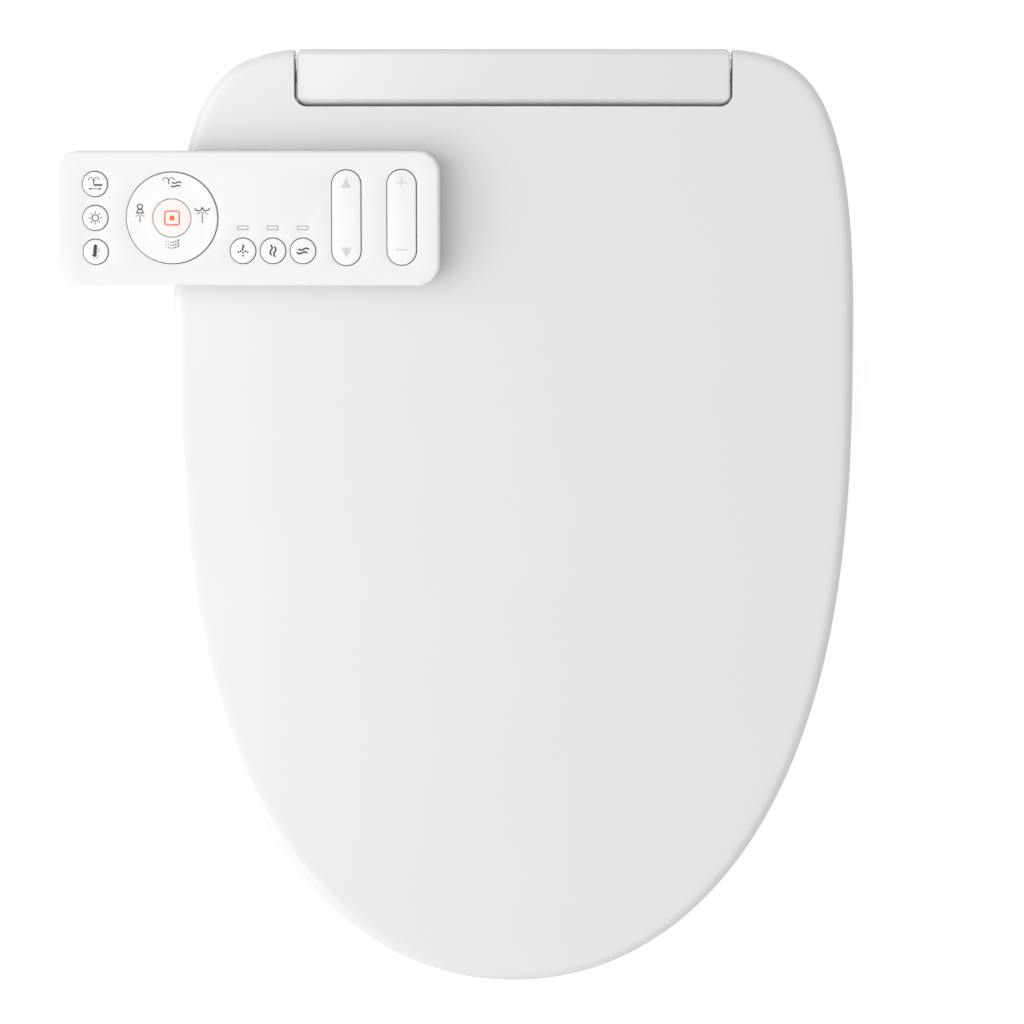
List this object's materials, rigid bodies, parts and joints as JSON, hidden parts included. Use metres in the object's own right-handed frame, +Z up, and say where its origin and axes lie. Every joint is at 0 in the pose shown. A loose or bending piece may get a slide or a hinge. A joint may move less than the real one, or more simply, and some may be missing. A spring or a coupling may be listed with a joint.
{
  "type": "electric bidet seat",
  "caption": "Lidded, heated toilet seat with a sloping one-piece lid, a rear wash unit with two sliding spray wands and warm-air dryer, and a cordless remote lying on the lid.",
  "frame": {"origin": "midway between the two bowl bolts, on the plane of the bowl's rim", "axes": "+Z up along the bowl bolts, +Y to the rear, +X to the right of the lid seen from above with its rear at the top"},
  "size_m": [0.4399, 0.5204, 0.1382],
  "materials": {
    "shell_white": "glossy moulded ABS",
    "seat_white": "satin moulded polypropylene",
    "soft_grey": "matte",
    "pin_steel": "ground",
    "damper_black": "matte",
    "inner_plastic": "matte",
    "wand_white": "glossy",
    "inlet_brass": "nickel plated",
    "board_green": "matte",
    "receiver_dark": "dark infrared window",
    "heater_foil": "foil",
    "remote_white": "fine matte",
    "remote_grey": "fine matte",
    "lens_clear": "diffuse window",
    "cell_steel": "plain sleeve",
    "gimbal_steel": "stamped"
  },
  "bodies": {
    "unit": {"base_case": "shell_white", "top_cover": "shell_white", "hinge_pins": "pin_steel", "hinge_dampers": "damper_black", "nozzle_block": "inner_plastic", "nozzle_guard": "shell_white", "wand_motors": "pin_steel", "water_inlet": "inlet_brass", "solenoid_valve": "inner_plastic", "water_heater": "inner_plastic", "diverter": "inner_plastic", "hoses": "inner_plastic", "blower_housing": "inner_plastic", "blower_motor": "pin_steel", "dryer_duct": "inner_plastic", "deodor_housing": "inner_plastic", "control_board": "board_green", "power_board": "board_green", "cord_gland": "damper_black", "receiver_lens": "receiver_dark", "drain_plug": "inner_plastic", "base_feet": "soft_grey"},
    "wash_wand": {"wash_wand": "wand_white", "wash_tip": "wand_white"},
    "bidet_wand": {"bidet_wand": "wand_white", "bidet_tip": "wand_white"},
    "wash_pinion": {"wash_pinion": "inner_plastic"},
    "bidet_pinion": {"bidet_pinion": "inner_plastic"},
    "blower_fan": {"blower_fan": "damper_black"},
    "dryer_flap": {"dryer_flap": "shell_white"},
    "deodor_fan": {"deodor_fan": "damper_black"},
    "carbon_filter": {"carbon_filter": "damper_black"},
    "power_button": {"power_button": "shell_white"},
    "release_button": {"release_button": "shell_white"},
    "mounting_plate": {"mounting_plate": "pin_steel"},
    "seat": {"seat_top": "seat_white", "seat_bottom": "seat_white", "seat_heater": "heater_foil", "seat_bumpers": "soft_grey"},
    "lid": {"lid_shell": "shell_white", "lid_bumpers": "soft_grey"},
    "remote": {"remote_front": "remote_white", "remote_back": "remote_grey", "remote_board": "board_green", "remote_pads": "soft_grey", "batteries": "cell_steel", "indicator_lenses": "lens_clear"},
    "battery_door": {"battery_door": "remote_grey"},
    "massage_key": {"massage_key": "remote_white"},
    "light_key": {"light_key": "remote_white"},
    "nozzle_key": {"nozzle_key": "remote_white"},
    "dial_pivot": {"dial_pivot": "gimbal_steel"},
    "dial_ring": {"dial_ring": "remote_white"},
    "stop_key": {"stop_key": "remote_white"},
    "water_temp_key": {"water_temp_key": "remote_white"},
    "seat_temp_key": {"seat_temp_key": "remote_white"},
    "air_temp_key": {"air_temp_key": "remote_white"},
    "position_rocker": {"position_rocker": "remote_white"},
    "power_rocker": {"power_rocker": "remote_white"}
  },
  "joints": [
    {"name": "seat_hinge", "type": "hinge", "parent": "unit", "child": "seat", "pos_m": [0, 0.0365, 0.09585], "axis": [-1, 0, 0], "range_deg": [0, 100]},
    {"name": "lid_hinge", "type": "hinge", "parent": "seat", "child": "lid", "pos_m": [0, 0.0365, 0.09585], "axis": [1, 0, 0], "range_deg": [-110, 0]},
    {"name": "remote_lift", "type": "slide", "parent": "lid", "child": "remote", "axis": [-0.019, -0.1132, 0.9934], "range_m": [0, 0.15]},
    {"name": "battery_door_lift", "type": "slide", "parent": "remote", "child": "battery_door", "axis": [0.019, 0.1132, -0.9934], "range_m": [0, 0.02]},
    {"name": "wash_wand_slide", "type": "slide", "parent": "unit", "child": "wash_wand", "axis": [0, -0.9135, -0.4067], "range_m": [0, 0.085]},
    {"name": "bidet_wand_slide", "type": "slide", "parent": "unit", "child": "bidet_wand", "axis": [0, -0.9135, -0.4067], "range_m": [0, 0.1]},
    {"name": "wash_pinion_spin", "type": "hinge", "parent": "unit", "child": "wash_pinion", "pos_m": [-0.014, -0.07404, 0.03909], "axis": [-1, 0, 0], "range_deg": [0, 813.7]},
    {"name": "bidet_pinion_spin", "type": "hinge", "parent": "unit", "child": "bidet_pinion", "pos_m": [0.014, -0.07404, 0.03909], "axis": [-1, 0, 0], "range_deg": [0, 956.9]},
    {"name": "blower_fan_spin", "type": "hinge", "parent": "unit", "child": "blower_fan", "pos_m": [0.083, -0.008, 0.048], "axis": [1, 0, 0], "continuous": true},
    {"name": "dryer_flap_hinge", "type": "hinge", "parent": "unit", "child": "dryer_flap", "pos_m": [0.083, -0.0912, 0.0226], "axis": [-1, 0, 0], "range_deg": [0, 70]},
    {"name": "deodor_fan_spin", "type": "hinge", "parent": "unit", "child": "deodor_fan", "pos_m": [-0.12204, -0.028, 0.017], "axis": [1, 0, 0], "continuous": true},
    {"name": "carbon_filter_slide", "type": "slide", "parent": "unit", "child": "carbon_filter", "axis": [-1, 0, 0], "range_m": [0, 0.05]},
    {"name": "power_button_press", "type": "slide", "parent": "unit", "child": "power_button", "axis": [-1, 0, 0], "range_m": [0, 0.001], "stiffness_N_per_m": 300, "springref_m": -0.0003},
    {"name": "release_button_press", "type": "slide", "parent": "unit", "child": "release_button", "axis": [-1, 0, 0], "range_m": [0, 0.0012], "stiffness_N_per_m": 300, "springref_m": -0.0003},
    {"name": "plate_slide", "type": "slide", "parent": "unit", "child": "mounting_plate", "axis": [0, 1, 0], "range_m": [0, 0.04]},
    {"name": "massage_key_press", "type": "slide", "parent": "remote", "child": "massage_key", "axis": [0.019, 0.1132, -0.9934], "range_m": [0, 0.0008], "stiffness_N_per_m": 200, "springref_m": -0.0004},
    {"name": "light_key_press", "type": "slide", "parent": "remote", "child": "light_key", "axis": [0.019, 0.1132, -0.9934], "range_m": [0, 0.0008], "stiffness_N_per_m": 200, "springref_m": -0.0004},
    {"name": "nozzle_key_press", "type": "slide", "parent": "remote", "child": "nozzle_key", "axis": [0.019, 0.1132, -0.9934], "range_m": [0, 0.0008], "stiffness_N_per_m": 200, "springref_m": -0.0004},
    {"name": "stop_key_press", "type": "slide", "parent": "remote", "child": "stop_key", "axis": [0.019, 0.1132, -0.9934], "range_m": [0, 0.0008], "stiffness_N_per_m": 200, "springref_m": -0.0004},
    {"name": "water_temp_key_press", "type": "slide", "parent": "remote", "child": "water_temp_key", "axis": [0.019, 0.1132, -0.9934], "range_m": [0, 0.0008], "stiffness_N_per_m": 200, "springref_m": -0.0004},
    {"name": "seat_temp_key_press", "type": "slide", "parent": "remote", "child": "seat_temp_key", "axis": [0.019, 0.1132, -0.9934], "range_m": [0, 0.0008], "stiffness_N_per_m": 200, "springref_m": -0.0004},
    {"name": "air_temp_key_press", "type": "slide", "parent": "remote", "child": "air_temp_key", "axis": [0.019, 0.1132, -0.9934], "range_m": [0, 0.0008], "stiffness_N_per_m": 200, "springref_m": -0.0004},
    {"name": "dial_tilt_y", "type": "hinge", "parent": "remote", "child": "dial_pivot", "pos_m": [-0.1864, -0.04445, 0.12673], "axis": [0.9998, -0.0021, 0.0188], "range_deg": [-2, 2], "stiffness_Nm_per_rad": 0.05},
    {"name": "dial_tilt_x", "type": "hinge", "parent": "dial_pivot", "child": "dial_ring", "pos_m": [-0.1864, -0.04445, 0.12673], "axis": [0, 0.9936, 0.1132], "range_deg": [-2, 2], "stiffness_Nm_per_rad": 0.05},
    {"name": "position_rocker_tilt", "type": "hinge", "parent": "remote", "child": "position_rocker", "pos_m": [-0.09112, -0.04445, 0.12855], "axis": [0.9998, -0.0021, 0.0188], "range_deg": [-2.5, 2.5], "stiffness_Nm_per_rad": 0.05},
    {"name": "power_rocker_tilt", "type": "hinge", "parent": "remote", "child": "power_rocker", "pos_m": [-0.06092, -0.04432, 0.12914], "axis": [0.9998, -0.0021, 0.0188], "range_deg": [-2.5, 2.5], "stiffness_Nm_per_rad": 0.05}
  ],
  "couplings": [
    {"joint": "wash_pinion_spin", "follows": "wash_wand_slide", "rad_per_m": 166.67},
    {"joint": "bidet_pinion_spin", "follows": "bidet_wand_slide", "rad_per_m": 166.67}
  ]
}
